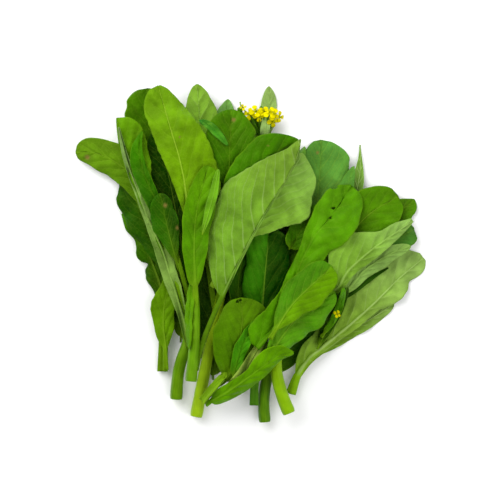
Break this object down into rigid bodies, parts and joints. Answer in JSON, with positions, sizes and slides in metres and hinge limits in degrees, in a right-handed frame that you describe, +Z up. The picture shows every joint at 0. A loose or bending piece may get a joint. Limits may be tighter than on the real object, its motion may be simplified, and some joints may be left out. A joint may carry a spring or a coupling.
{
  "type": "choy sum bunch",
  "caption": "Loose bunch of fresh choy sum lying on a surface: leafy green shoots, broad spoon-shaped leaves and a small yellow flower head, with cut stem ends.",
  "frame": {"origin": "middle of the bunch's box in plan, at the level of the surface that it lies on", "axes": "+Z up from that surface, +Y from the cut stem ends towards the leaf tips, +X to the right seen from above with the tips away"},
  "size_m": [0.3509, 0.3386, 0.0521],
  "materials": {
    "leaf": "waxy, half gloss",
    "pale_leaf": "matt underside",
    "shoot": "smooth, half gloss",
    "petal": "soft, matt"
  },
  "bodies": {
    "root": {"flower_head": "petal", "leaf_centre_pale": "pale_leaf", "leaf_front_glossy": "leaf", "leaf_front_long": "leaf", "leaf_front_right": "leaf", "leaf_front_round": "leaf", "leaf_front_wrap": "leaf", "leaf_hidden_left": "leaf", "leaf_hidden_middle": "leaf", "leaf_hidden_right": "leaf", "leaf_left_low": "leaf", "leaf_left_outer": "leaf", "leaf_middle_dark": "leaf", "leaf_middle_pale": "pale_leaf", "leaf_middle_thin": "leaf", "leaf_right_lowest": "pale_leaf", "leaf_right_outer": "pale_leaf", "shoot_back_right": "shoot", "shoot_flowering": "shoot", "shoot_front_left": "shoot", "shoot_left": "shoot", "shoot_right": "shoot"}
  },
  "joints": []
}
